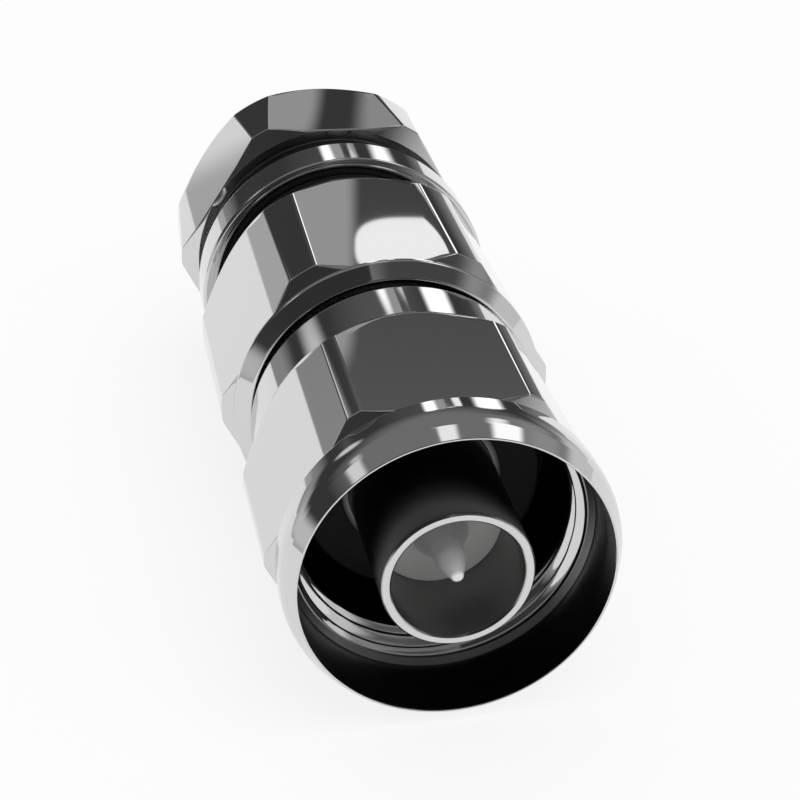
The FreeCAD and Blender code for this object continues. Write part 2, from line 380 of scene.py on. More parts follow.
@dataclass(frozen=True)
class Thread:
    """A screw thread as a ring with a threaded wall, in millimetres.

    Args:
        crest_r: radius of the crests.
        root_r: radius of the roots.
        back_r: radius of the plain side of the ring, hidden in the piece that carries it.
        start: first y of the thread.
        end: last y of the thread.
        pitch: travel in one turn.
        land: share of half a pitch that is flat at the crest, and again at the root.
        rounding: how much the flanks are curved, from 0 to 1.
        lead: turns over which the thread rises at each end.
        columns: spans round the axis.
        rows_per_pitch: spans in one turn along the axis.
    """

    crest_r: float
    root_r: float
    back_r: float
    start: float
    end: float
    pitch: float
    land: float = 0.14
    rounding: float = 0.35
    lead: float = 0.45
    columns: int = 240
    rows_per_pitch: int = 30

    def skin(self) -> Skin:
        """The threaded ring.

        Returns:
            A closed grid: the threaded wall and the plain back.
        """
        rows = int(round((self.end - self.start) / self.pitch * self.rows_per_pitch))
        y = np.linspace(self.start, self.end, rows + 1)[:, None]
        angle = np.linspace(0, 2 * math.pi, self.columns, endpoint=False)[None, :]
        wave = np.abs(2 * ((y / self.pitch - angle / (2 * math.pi)) % 1) - 1)
        depth = np.clip((wave - self.land) / (1 - 2 * self.land), 0, 1)
        curved = depth * depth * (3 - 2 * depth)
        depth = curved * self.rounding + depth * (1 - self.rounding)
        rise = np.clip(np.minimum(y - self.start, self.end - y) / (self.lead * self.pitch), 0, 1)
        wall = self.root_r + (self.crest_r - self.root_r) * (1 - depth) * rise
        slope = np.gradient(wall, axis=0) / np.gradient(y, axis=0)
        out = -1.0 if self.back_r > self.root_r else 1.0
        cos, sin, ends = np.cos(angle), np.sin(angle), y[[0, -1]]
        points = np.stack(np.broadcast_arrays(wall * cos, y, wall * sin), -1)
        normals = np.stack(np.broadcast_arrays(cos * out, -slope * out, sin * out), -1)
        normals = normals / np.linalg.norm(normals, axis=-1, keepdims=True)
        back = np.stack(np.broadcast_arrays(self.back_r * cos, ends, self.back_r * sin), -1)
        back_normals = np.stack(np.broadcast_arrays(-cos * out, 0 * ends, -sin * out), -1)
        caps = np.stack(np.broadcast_arrays(0 * cos, np.array([[-1.0], [1.0]]), 0 * cos), -1)
        surface = np.concatenate([points, points[-1:], back[1:], back[1:],
                                  back[:1], back[:1], points[:1], points[:1]])
        facing = np.concatenate([normals, caps[1:], caps[1:], back_normals[1:],
                                 back_normals[:1], caps[:1], caps[:1], normals[:1]])
        if out < 0:
            surface, facing = surface[::-1], facing[::-1]
        none = np.zeros(surface.shape[:2])
        return Skin(surface, facing, none, none)


# Finishes


def linear(colour: str) -> tuple[float, float, float, float]:
    """Turns a #rrggbb colour into linear light.

    Args:
        colour: hex colour as seen on a screen.

    Returns:
        Red, green, blue and an alpha of one.
    """
    parts = np.array([int(colour[k:k + 2], 16) / 255 for k in (1, 3, 5)])
    light = np.where(parts <= 0.04045, parts / 12.92, ((parts + 0.055) / 1.055) ** 2.4)
    return (*light.tolist(), 1.0)


def node(tree: bpy.types.NodeTree, kind: str, inputs: dict | None = None,
         **settings: object) -> bpy.types.Node:
    """Adds one node.

    Args:
        tree: the node tree.
        kind: the node's type name, without the ShaderNode prefix.
        inputs: a value or a source socket for each named or numbered input.
        **settings: properties of the node.

    Returns:
        The new node.
    """
    made = tree.nodes.new("ShaderNode" + kind)
    for key, value in settings.items():
        setattr(made, key, value)
    for key, value in (inputs or {}).items():
        if isinstance(value, bpy.types.NodeSocket):
            tree.links.new(value, made.inputs[key])
        else:
            made.inputs[key].default_value = value
    return made


def maths(tree: bpy.types.NodeTree, operation: str, *values: object) -> bpy.types.NodeSocket:
    """Adds one arithmetic node.

    Args:
        tree: the node tree.
        operation: what it works out.
        *values: a number or a source socket for each input.

    Returns:
        The result.
    """
    return node(tree, "Math", dict(enumerate(values)), operation=operation).outputs[0]


def blend(tree: bpy.types.NodeTree, share: object, first: object, second: object) -> bpy.types.NodeSocket:
    """Adds a node that goes from one number to another.

    Args:
        tree: the node tree.
        share: 0 for the first and 1 for the second.
        first: a number or a source socket.
        second: a number or a source socket.

    Returns:
        The result.
    """
    return node(tree, "Mix", {0: share, 2: first, 3: second}, data_type="FLOAT").outputs[0]


@dataclass(frozen=True)
class Finish:
    """A material with its own node tree.

    Args:
        name: what the finish is.
        colour: its colour as seen on a screen.
        roughness: how rough the surface is.
    """

    name: str
    colour: str
    roughness: float

    def start(self) -> tuple[bpy.types.Material, bpy.types.NodeTree, bpy.types.Node]:
        """Makes the material and its shader.

        Returns:
            The material, its tree and its Principled shader.
        """
        material = bpy.data.materials.new(self.name)
        material.use_nodes = True
        tree = material.node_tree
        tree.nodes.clear()
        looks = {"Base Color": linear(self.colour), "Roughness": self.roughness}
        shader = node(tree, "BsdfPrincipled", looks)
        output = node(tree, "OutputMaterial")
        tree.links.new(shader.outputs["BSDF"], output.inputs["Surface"])
        return material, tree, shader

    def noise(self, tree: bpy.types.NodeTree, size: float, detail: float) -> bpy.types.NodeSocket:
        """Adds noise fixed to the object.

        Args:
            tree: the material's tree.
            size: size of its largest blotches, in millimetres.
            detail: octaves of finer ones.

        Returns:
            The noise, from 0 to 1.
        """
        place = node(tree, "TexCoord").outputs["Object"]
        inputs = {"Vector": place, "Scale": 1 / (size * MM), "Detail": detail}
        return node(tree, "TexNoise", inputs).outputs[0]

    def material(self) -> bpy.types.Material:
        """The finished material."""
        return self.start()[0]


@dataclass(frozen=True)
class PlatedMetal(Finish):
    """Polished plate over turned and milled metal.

    It gives the eye hard reflections on the flats, slightly softer ones on what was turned, and in the bores
    a rougher plate whose colour is darkened towards a dark grey as painted shade.

    Args:
        ring_pitch: spacing of the turning marks, in millimetres.
        marks: strength of the marks.
        mark_depth: how deep they are, in millimetres.
        haze: how much the roughness wanders.
        haze_size: size of the hazy patches, in millimetres.
        flat_roughness: roughness of the flats, which are milled and buffed to a mirror.
        bore_shade_colour: painted shade, the dark grey that the plate's colour is mixed towards deep in a
            bore.
        deep_roughness: its roughness.
        metallic: share of bare metal; the rest is a thin dull film.
    """

    ring_pitch: float = 0.09
    marks: float = 0.06
    mark_depth: float = 0.002
    haze: float = 0.03
    haze_size: float = 2.5
    flat_roughness: float = 0.018
    bore_shade_colour: str = "#3A3A3A"
    deep_roughness: float = 0.4
    metallic: float = 1.0

    def material(self) -> bpy.types.Material:
        """Plate with faint turning marks off the flats, a slightly uneven polish and painted shade in the
        bores.

        Returns:
            The material.
        """
        material, tree, shader = self.start()
        shader.inputs["Metallic"].default_value = self.metallic
        flat = node(tree, "Attribute", attribute_name="flat_share").outputs["Fac"]
        deep = node(tree, "Attribute", attribute_name="dull_and_shade_share").outputs["Fac"]
        patches = self.noise(tree, self.haze_size, 3.0)
        rough = node(tree, "MapRange", {"Value": patches, "From Min": 0.3, "From Max": 0.7,
                                        "To Min": self.roughness, "To Max": self.roughness + self.haze})
        buffed = blend(tree, flat, rough.outputs[0], self.flat_roughness)
        tree.links.new(blend(tree, deep, buffed, self.deep_roughness), shader.inputs["Roughness"])
        # painted shade: dull_and_shade_share mixes the plate's colour towards a dark grey in bores and
        # recesses
        plate = node(tree, "MixRGB", {"Fac": deep, "Color1": linear(self.colour),
                                      "Color2": linear(self.bore_shade_colour)})
        tree.links.new(plate.outputs[0], shader.inputs["Base Color"])
        strength = node(tree, "MapRange", {"Value": flat, "To Min": self.marks, "To Max": 0.0}).outputs[0]
        relief = {"Height": self.rings(tree), "Strength": strength, "Distance": self.mark_depth * MM}
        bump = node(tree, "Bump", relief)
        tree.links.new(bump.outputs[0], shader.inputs["Normal"])
        return material

    def rings(self, tree: bpy.types.NodeTree) -> bpy.types.NodeSocket:
        """Turning marks: noise of the distance from the Y axis and the place along it.

        Args:
            tree: the material's tree.

        Returns:
            The height of the marks.
        """
        split = node(tree, "SeparateXYZ", {0: node(tree, "TexCoord").outputs["Object"]}).outputs
        square = maths(tree, "MULTIPLY", split["X"], split["X"])
        radius = maths(tree, "SQRT", maths(tree, "MULTIPLY_ADD", split["Z"], split["Z"], square))
        place = node(tree, "CombineXYZ", {"X": radius, "Y": split["Y"]}).outputs[0]
        scale = 1 / (self.ring_pitch * MM)
        return node(tree, "TexNoise", {"Vector": place, "Scale": scale, "Detail": 1.0}).outputs[0]


@dataclass(frozen=True)
class Grained(Finish):
    """A surface whose roughness and height follow one fine grain.

    On bare metal the grain is what the tool left, and breaks up the shine. On moulded rubber it keeps
    the black matt.

    Args:
        grain: size of the grain, in millimetres.
        detail: octaves of finer grain.
        spread: how much the roughness wanders.
        strength: strength of the relief.
        depth: how deep it is, in millimetres.
        metallic: 1 for bare metal.
    """

    grain: float = 0.4
    detail: float = 4.0
    spread: float = 0.15
    strength: float = 0.2
    depth: float = 0.01
    metallic: float = 1.0

    def material(self) -> bpy.types.Material:
        """A material with an uneven roughness and height.

        Returns:
            The material.
        """
        material, tree, shader = self.start()
        shader.inputs["Metallic"].default_value = self.metallic
        grain = self.noise(tree, self.grain, self.detail)
        rough = node(tree, "MapRange", {"Value": grain, "To Min": self.roughness,
                                        "To Max": self.roughness + self.spread})
        tree.links.new(rough.outputs[0], shader.inputs["Roughness"])
        relief = {"Height": grain, "Strength": self.strength, "Distance": self.depth * MM}
        tree.links.new(node(tree, "Bump", relief).outputs[0], shader.inputs["Normal"])
        return material


@dataclass(frozen=True)
class Waxy(Finish):
    """Waxy fluoropolymer: white with faint mottling, soft because light passes a little way in.

    Args:
        mottling: size of the mottling, in millimetres.
        shade: how light its darker spots are against the rest.
        inside: share of the light that passes into it.
        depth: how far that light gets, in millimetres.
    """

    mottling: float = 1.5
    shade: float = 0.9
    inside: float = 0.15
    depth: float = 0.4

    def material(self) -> bpy.types.Material:
        """Waxy plastic.

        Returns:
            The material.
        """
        material, tree, shader = self.start()
        white = linear(self.colour)
        spot = (*(self.shade * part for part in white[:3]), 1.0)
        mottling = self.noise(tree, self.mottling, 3.0)
        tone = node(tree, "MixRGB", {"Fac": mottling, "Color1": white, "Color2": spot})
        tree.links.new(tone.outputs[0], shader.inputs["Base Color"])
        shader.inputs["Subsurface Weight"].default_value = self.inside
        shader.inputs["Subsurface Radius"].default_value = (self.depth * MM,) * 3
        return material


@dataclass(frozen=True)
class PaperSheet(Finish):
    """Matt paper, lit from below so that shadows on it stay faint.

    Args:
        glow: share of the paper's light that comes through it.
    """

    glow: float = 0.8

    def material(self) -> bpy.types.Material:
        """Paper that is white to the camera and in polished metal.

        Returns:
            The material.
        """
        material, tree, shader = self.start()
        ray = node(tree, "LightPath").outputs
        seen = maths(tree, "MAXIMUM", ray["Is Camera Ray"], ray["Is Glossy Ray"])
        seen = maths(tree, "MAXIMUM", seen, ray["Is Transmission Ray"])
        share = maths(tree, "MULTIPLY", seen, self.glow)
        light = node(tree, "Emission", {"Color": (1.0, 1.0, 1.0, 1.0), "Strength": 1.0})
        both = node(tree, "MixShader", {0: share, 1: shader.outputs["BSDF"], 2: light.outputs[0]})
        output = next(made for made in tree.nodes if made.type == "OUTPUT_MATERIAL")
        tree.links.new(both.outputs[0], output.inputs["Surface"])
        return material


@dataclass
class Finishes:
    """Every finish of the plug, made once.

    Args:
        made: material for each slot.
    """

    made: dict[Slot, bpy.types.Material] = field(default_factory=dict)

    def build(self) -> None:
        """Makes the materials."""
        finishes = {
            # a cool mirror: nearly all that the eye sees of it is the studio
            Slot.NICKEL: PlatedMetal("polished nickel plate", "#D2D2D2", 0.04, haze=0.03),
            # pale and satin, so that the pin stands out in the dark sleeve
            Slot.PIN: PlatedMetal("satin contact plate", "#E6E6E6", 0.3, marks=0.12, metallic=0.3),
            # reddish, springy strip
            Slot.BRONZE: Grained("spring bronze", "#C08A5A", 0.3),
            # yellow metal as it leaves the lathe
            Slot.BRASS: Grained("turned brass", "#C9A862", 0.28),
            # soft white face around the pin
            Slot.INSULATOR: Waxy("waxy fluoropolymer", "#F0F0EE", 0.45),
            # swallows light in the gap before the clamp nut's flange
            Slot.RUBBER: Grained("black rubber", "#1B1B1B", 0.6, grain=0.12, detail=2.0, spread=0.12,
                                 strength=0.3, metallic=0.0),
        }
        self.made = {slot: finish.material() for slot, finish in finishes.items()}

    def dress(self, made: bpy.types.Object, slot: Slot) -> None:
        """Gives an object one finish in all its material slots.

        Args:
            made: the object.
            slot: which finish.
        """
        if not made.material_slots:
            made.data.materials.append(self.made[slot])
        for holder in made.material_slots:
            holder.link = "OBJECT"
            holder.material = self.made[slot]

    def mount(self, piece: bpy.types.Object, slot: Slot, body: str) -> bpy.types.Object:
        """Dresses a new piece and ties it to a body of the frame.

        Args:
            piece: the new piece.
            slot: which finish.
            body: the body that it moves with.

        Returns:
            The piece.
        """
        self.dress(piece, slot)
        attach(piece, body)
        return piece


# The plug, with every size in millimetres and every place along Y measured from the mating plane


@dataclass(frozen=True)
class CouplingNut:
    """The nut that screws on the socket: turned collar, hexagon, skirt, bore and thread.

    Args:
        across_flats: distance across the flats.
        corner_r: radius to which the hexagon's corners are turned.
        rim_r: outer radius at the mating plane.
        land_r: radius where the collar's front cone ends, at land_y.
        shoulder_r: radius where the collar starts to round over, at shoulder_y.
        crown_r: largest radius of the collar, at crown_y.
        ridge_r: radius of the collar where the hexagon starts.
        ridge_step: depth of the step between them.
        hexagon_start, hexagon_end: the flats, the latter where the rear cone meets them.
        corner_lead: length of the cone in front of the corners.
        taper_deg: slope of the cone behind them.
        skirt_r: radius of the plain skirt.
        length: length of the nut.
        counterbore_r, counterbore_end: the clear bore in front of the thread.
        mouth: length of its mouth, over which the bore's painted shade fades out.
        seat_r: radius that carries the thread.
        thread_crest_r, thread_root_r, thread_back_r, thread_start, thread_end, pitch: the thread.
        relief_r, relief_end: the wide bore behind it.
        barrel_r: bore that runs on the body's barrel.
        groove_r: floor of the split ring's groove.
    """

    across_flats: float = 16.8
    corner_r: float = 9.47
    rim_r: float = 8.42
    land_r: float = 8.83
    land_y: float = 0.8
    shoulder_r: float = 8.99
    shoulder_y: float = 1.25
    crown_r: float = 9.045
    crown_y: float = 1.85
    ridge_r: float = 8.97
    ridge_step: float = 0.3
    hexagon_start: float = 3.2
    hexagon_end: float = 13.35
    corner_lead: float = 0.4
    taper_deg: float = 30.0
    skirt_r: float = 8.35
    length: float = 16.8
    counterbore_r: float = 8.3
    counterbore_end: float = 3.9
    mouth: float = 0.2
    seat_r: float = 7.9375
    thread_crest_r: float = 7.43
    thread_root_r: float = 7.93
    thread_back_r: float = 8.0
    thread_start: float = 4.2
    thread_end: float = 6.9
    pitch: float = 25.4 / 24
    relief_r: float = 8.05
    relief_end: float = 12.9
    barrel_r: float = 7.01
    groove_r: float = 7.785

    def profile(self) -> Profile:
        """The nut's outline, from the rim over the outside and back through the bore.

        Returns:
            The rows.
        """
        hexed, deep, bored = Zone.HEXED, Zone.DEEP, Zone.BORED
        slope = math.tan(math.radians(self.taper_deg))
        taper = self.hexagon_end - (self.corner_r - self.across_flats / 2) / slope
        skirt = taper + (self.corner_r - self.skirt_r) / slope
        foot = self.ridge_r - self.ridge_step
        seat = self.counterbore_end + self.counterbore_r - self.seat_r
        return Profile.through([
            Point(self.counterbore_r, 0, 0.06),
            Point(self.rim_r, 0, 0.06),
            Point(self.land_r, self.land_y, 0.5),
            Point(self.shoulder_r, self.shoulder_y, 1.5),
            Point(self.crown_r, self.crown_y, 8.0),
            Point(self.ridge_r, self.hexagon_start, 0.3),
            Point(foot - HEX_STEP, self.hexagon_start, 0.01),
            Point(foot, self.hexagon_start, 0.001, hexed, 2),
            Point(self.corner_r, self.hexagon_start + self.corner_lead, 0.15, hexed, 40),
            Point(self.corner_r, taper, 0.2, hexed, 40),
            Point(self.skirt_r, skirt, 0.3),
            Point(self.skirt_r, self.length, 0.4),
            # painted shade from here through the bore: full deep inside, partial in the thread seat and
            # counterbore
            Point(self.barrel_r, self.length, 0.1, deep),
            Point(self.barrel_r, RING_END, 0.02, deep),
            Point(self.groove_r, RING_END, 0.02, deep),
            Point(self.groove_r, RING_START, 0.02, deep),
            Point(self.barrel_r, RING_START, 0.02, deep),
            Point(self.barrel_r, self.relief_end, 0.02, deep),
            Point(self.relief_r, self.relief_end, 0.05, deep),
            Point(self.relief_r, self.thread_end, 0.02, deep),
            Point(self.seat_r, self.thread_end, 0.02, deep),
            Point(self.seat_r, seat, 0.02, bored),
            Point(self.counterbore_r, self.counterbore_end, 0.05, bored),
            Point(self.counterbore_r, self.mouth, 0.01, bored),
        ])

    def build(self, finishes: Finishes) -> list[bpy.types.Object]:
        """Builds and dresses the nut and its thread.

        Args:
            finishes: the plug's materials.

        Returns:
            The pieces.
        """
        nut = HexLathe(self.across_flats).skin(self.profile()).to_object("coupling_nut_shell")
        thread = Thread(self.thread_crest_r, self.thread_root_r, self.thread_back_r, self.thread_start,
                        self.thread_end, self.pitch)
        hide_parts("coupling_nut")
        pieces = (nut, thread.skin().to_object("coupling_thread"))
        return [finishes.mount(piece, Slot.NICKEL, "coupling_nut") for piece in pieces]


@dataclass(frozen=True)
class PlugBody:
    """Contact sleeve, barrel and hexagonal body in one piece.

    Args:
        across_flats: distance across the flats.
        sleeve_r, sleeve_bore_r: outside and bore of the contact sleeve.
        tip_break: how far the edges of its tip are broken.
        seal_r, seal_y: the step at the sleeve's foot and the plane that the rubber ring lies on.
        barrel_start, barrel_r, barrel_break: the barrel that the coupling nut runs on and its front edge.
        groove_r: floor of the split ring's groove.
        ring_start, ring_r: the round collar in front of the hexagon.
        roll_across, roll_along: how far its front edge is rounded in either direction.
        hexagon_start, hexagon_end: the flats, the latter where the rear cone meets them.
        corner_front_r, corner_rear_r: radius to which the corners are turned, in front and behind.
        corner_lead: length of the cone in front of the corners.
        taper_deg: slope of the cone behind them.
        rear_r, rear_land, end: radius and length of the round land at the rear end.
        mouth_r, mouth_break, gasket_r, gasket_floor: the rear bore and the chamfer of its mouth.
        insulator_r, insulator_floor: the bore of the rear insulator.
        front_r, front_floor: the bore of the front insulator.
    """

    across_flats: float = 17.5
    sleeve_r: float = 4.05
    sleeve_bore_r: float = 3.5
    tip_break: float = 0.12
    seal_r: float = 4.45
    seal_y: float = 9.2
    barrel_start: float = 10.6
    barrel_r: float = 6.95
    barrel_break: float = 0.3
    groove_r: float = 6.235
    ring_start: float = 17.65
    ring_r: float = 9.04
    roll_across: float = 0.8
    roll_along: float = 0.7
    hexagon_start: float = 18.55
    hexagon_end: float = 30.2
    corner_front_r: float = 9.65
    corner_rear_r: float = 9.58
    corner_lead: float = 0.6
    taper_deg: float = 30.0
    rear_r: float = 8.3
    rear_land: float = 0.5
    end: float = 31.48
    mouth_r: float = 7.3
    mouth_break: float = 0.3
    gasket_r: float = 7.0
    gasket_floor: float = 24.2
    insulator_r: float = 6.3
    insulator_floor: float = 18.6
    front_r: float = 4.6
    front_floor: float = 13.4

    def profile(self) -> Profile:
        """The body's outline, from the sleeve's tip over the outside and back through the bore.

        Returns:
            The rows.
        """
        hexed, deep, bored = Zone.HEXED, Zone.DEEP, Zone.BORED
        slope = math.tan(math.radians(self.taper_deg))
        taper = self.hexagon_end - (self.corner_rear_r - self.across_flats / 2) / slope
        return Profile.through([
            Point(self.sleeve_bore_r + self.tip_break, 0, 0.08),
            Point(self.sleeve_r - self.tip_break, 0, 0.08),
            # painted shade: the sleeve's outside, inside the coupling nut, is partly darkened, and the seal
            # step, barrel and groove fully
            Point(self.sleeve_r, self.tip_break, 0.08, bored),
            Point(self.sleeve_r, self.seal_y, 0.05, bored),
            Point(self.seal_r, self.seal_y, 0.02, deep),
            Point(self.seal_r, self.barrel_start, 0.02, deep),
            Point(self.barrel_r - self.barrel_break, self.barrel_start, 0.02, deep),
            Point(self.barrel_r, self.barrel_start + self.barrel_break, 0.05, deep),
            Point(self.barrel_r, RING_START, 0.02, deep),
            Point(self.groove_r, RING_START, 0.02, deep),
            Point(self.groove_r, RING_END, 0.02, deep),
            Point(self.barrel_r, RING_END, 0.02, deep),
            Point(self.barrel_r, self.ring_start, 0.1),
            Point(self.ring_r - self.roll_across, self.ring_start, 0.3),
            Point(self.ring_r, self.ring_start + self.roll_along, self.roll_along),
            Point(self.ring_r, self.hexagon_start, 0.04),
            Point(self.ring_r - HEX_STEP, self.hexagon_start, 0.001, hexed, 2),
            Point(self.corner_front_r, self.hexagon_start + self.corner_lead, 0.12, hexed),
            Point(self.corner_rear_r, taper, 0.2, hexed, 40),
            Point(self.rear_r, self.end - self.rear_land, 0.2),
            Point(self.rear_r, self.end, 0.2),
            Point(self.mouth_r, self.end, 0.05),
            Point(self.gasket_r, self.end - self.mouth_break, 0.05),
            Point(self.gasket_r, self.gasket_floor, 0.02),
            Point(self.insulator_r, self.gasket_floor, 0.02),
            Point(self.insulator_r, self.insulator_floor, 0.02),
            Point(self.front_r, self.insulator_floor, 0.02),
            Point(self.front_r, self.front_floor, 0.02),
            # painted shade: the sleeve's bore is partly darkened
            Point(self.sleeve_bore_r, self.front_floor, 0.02, bored),
            Point(self.sleeve_bore_r, self.tip_break, 0.08, bored),
        ])

    def build(self, finishes: Finishes) -> list[bpy.types.Object]:
        """Builds and dresses the body.

        Args:
            finishes: the plug's materials.

        Returns:
            The pieces.
        """
        body = HexLathe(self.across_flats).skin(self.profile()).to_object("plug_body_shell")
        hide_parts("plug_body")
        return [finishes.mount(body, Slot.NICKEL, "body")]


@dataclass(frozen=True)
class ClampNut:
    """Hollow nut at the cable end, with its threaded shank inside the body.

    Args:
        across_flats: distance across the flats.
        roll_deg: how far the nut is turned against the body's flats.
        corner_front_r, corner_rear_r: radius to which the corners are turned, in front and behind.
        corner_lead: length of the cone in front of the corners.
        taper_deg: slope of the cone behind them.
        flange_start, flange_end, flange_r: the flange that closes the body.
        neck_r: the neck between the flange and the hexagon.
        hexagon_start, end: the hexagon.
        rear_r, rear_rim: radius of the rear face and width of the rim left by the flats.
        bore_r, mouth_break: the cable's bore and the chamfer of its mouth.
        shank_start, shank_r: the shank under the thread.
        thread_start, thread_crest_r, thread_root_r, pitch: the thread on the shank.
        thread_inset: how deep its ring sits in the shank, and its distance from the flange.
    """

    across_flats: float = 17.5
    roll_deg: float = 3.0
    corner_front_r: float = 9.8
    corner_rear_r: float = 9.45
    corner_lead: float = 0.45
    taper_deg: float = 33.0
    flange_start: float = 32.38
    flange_end: float = 34.98
    flange_r: float = 9.05
    neck_r: float = 8.1
    hexagon_start: float = 37.58
    end: float = 45.18
    rear_r: float = 8.4
    rear_rim: float = 0.2
    bore_r: float = 5.4
    mouth_break: float = 0.6
    shank_start: float = 25.2
    shank_r: float = 6.3
    thread_start: float = 25.3
    thread_crest_r: float = 6.94
    thread_root_r: float = 6.39
    pitch: float = 1.0
    thread_inset: float = 0.05

    def profile(self) -> Profile:
        """The nut's outline, from the shank over the outside and back through the bore.

        Returns:
            The rows.
        """
        hexed, bored = Zone.HEXED, Zone.BORED
        taper = self.end - (self.corner_rear_r - self.rear_r) / math.tan(math.radians(self.taper_deg))
        return Profile.through([
            Point(self.bore_r, self.shank_start, 0.05),
            Point(self.shank_r, self.shank_start, 0.05),
            Point(self.shank_r, self.flange_start, 0.1),
            Point(self.flange_r, self.flange_start, 0.2),
            Point(self.flange_r, self.flange_end, 0.2),
            # painted shade: the neck between the flange and the hexagon is partly darkened, like the mouth of
            # a bore
            Point(self.neck_r, self.flange_end, 0.1, bored),
            Point(self.neck_r, self.hexagon_start, 0.1, bored),
            Point(self.across_flats / 2, self.hexagon_start, 0.05, hexed, 2),
            Point(self.corner_front_r, self.hexagon_start + self.corner_lead, 0.12, hexed, 40),
            Point(self.corner_rear_r, taper, 0.2, hexed, 40),
            Point(self.rear_r, self.end, 0.1, hexed),
            Point(self.rear_r - self.rear_rim, self.end, 0.05),
            Point(self.bore_r + self.mouth_break, self.end, 0.05),
            Point(self.bore_r, self.end - self.mouth_break, 0.05),
        ])

    def build(self, finishes: Finishes) -> list[bpy.types.Object]:
        """Builds and dresses the nut and the thread on its shank.

        Args:
            finishes: the plug's materials.

        Returns:
            The pieces.
        """
        nut = HexLathe(self.across_flats, self.roll_deg).skin(self.profile()).to_object("clamp_nut_shell")
        thread = Thread(self.thread_crest_r, self.thread_root_r, self.shank_r - self.thread_inset,
                        self.thread_start, self.flange_start - self.thread_inset, self.pitch)
        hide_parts("clamp_nut")
        pieces = (nut, thread.skin().to_object("clamp_thread"))
        return [finishes.mount(piece, Slot.NICKEL, "clamp_nut") for piece in pieces]


@dataclass(frozen=True)
class CentreContact:
    """The pin with its solder cup.

    Args:
        tip_y, tip_r: the flat of the pin's tip.
        cone_end: end of the tip's cone.
        pin_r, pin_end: the pin.
        stem_r, stem_start: the thicker stem in the insulator.
        collar_r, collar_start, collar_end: the collar between the insulators.
        cup_r, cup_end: outside of the solder cup.
        cup_bore_r, cup_floor: its bore.
    """

    tip_y: float = 0.25
    tip_r: float = 0.3
    cone_end: float = 1.9
    pin_r: float = 0.825
    pin_end: float = 3.0
    stem_r: float = 1.52
    stem_start: float = 4.35
    collar_r: float = 2.4
    collar_start: float = 13.4
    collar_end: float = 14.4
    cup_r: float = 1.9
    cup_end: float = 22.0
    cup_bore_r: float = 1.25
    cup_floor: float = 15.6

    def profile(self) -> Profile:
        """The contact's outline, from the tip to the floor of the cup.

        Returns:
            The rows.
        """
        return Profile.through([
            Point(0, self.tip_y, 0),
            Point(self.tip_r, self.tip_y, 0.2),
            Point(self.pin_r, self.cone_end, 1.5),
            Point(self.pin_r, self.pin_end, 0.5),
            Point(self.stem_r, self.stem_start, 0.4),
            Point(self.stem_r, self.collar_start, 0.02),
            Point(self.collar_r, self.collar_start, 0.05),
            Point(self.collar_r, self.collar_end, 0.05),
            Point(self.cup_r, self.collar_end, 0.02),
            Point(self.cup_r, self.cup_end, 0.1),
            Point(self.cup_bore_r, self.cup_end, 0.1),
            Point(self.cup_bore_r, self.cup_floor, 0.02),
            Point(0, self.cup_floor, 0),
        ], closed=False, arc_steps=8)

    def build(self, finishes: Finishes) -> list[bpy.types.Object]:
        """Builds and dresses the contact.

        Args:
            finishes: the plug's materials.

        Returns:
            The pieces.
        """
        pin = Lathe(96).skin(self.profile()).to_object("centre_contact_pin")
        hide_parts("centre_contact")
        return [finishes.mount(pin, Slot.PIN, "body")]


@dataclass(frozen=True)
class PackedPieces:
    """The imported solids, which keep their meshes and get a finish.

    Args:
        slots: each solid's name and finish.
    """

    slots: tuple[tuple[str, Slot], ...] = (
        ("coupling_nut", Slot.NICKEL),
        ("plug_body", Slot.NICKEL),
        ("clamp_nut", Slot.NICKEL),
        ("centre_contact", Slot.PIN),
        ("retaining_ring", Slot.BRONZE),
        ("face_seal", Slot.RUBBER),
        ("front_insulator", Slot.INSULATOR),
        ("rear_insulator", Slot.INSULATOR),
        ("braid_clamp", Slot.BRASS),
        ("cable_gasket", Slot.RUBBER),
        ("thrust_washer", Slot.BRASS),
        ("sealing_ring", Slot.RUBBER),
    )

    def build(self, nodes: dict[str, bpy.types.Object], finishes: Finishes) -> None:
        """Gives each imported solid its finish.

        Args:
            nodes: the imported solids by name.
            finishes: the plug's materials.
        """
        for name, slot in self.slots:
            finishes.dress(nodes[name], slot)
            log.info("%s: %s", name, slot.value)


# The studio


@dataclass(frozen=True)
class Patch:
    """A soft-edged area of the studio seen in reflections.

    With u and v the offsets from its middle as shares of its half width and half height, its edge lies
    where |u|^p + |v|^p is one: an ellipse for p = 2 and nearly a box for a large p.

    Args:
        azimuth: middle, in degrees from +Y towards +X.
        elevation: middle, in degrees above the horizon.
        width: half width in degrees of azimuth.
        height: half height in degrees of elevation.
        soft: half width of the edge as a share of the half sizes.
        light: its radiance.
        corner: the power p.
    """

    azimuth: float
    elevation: float
    width: float
    height: float
    soft: float
    light: float
    corner: float = 2.0


@dataclass(frozen=True)
class Sun:
    """A broad soft lamp for what isn't a mirror.

    Args:
        name: the lamp's name.
        strength: light on a surface that faces it.
        spread: its width in the sky, in degrees.
        turn: degrees by which it is turned about X, Y and Z from shining straight down.
    """

    name: str
    strength: float
    spread: float
    turn: tuple[float, float, float]


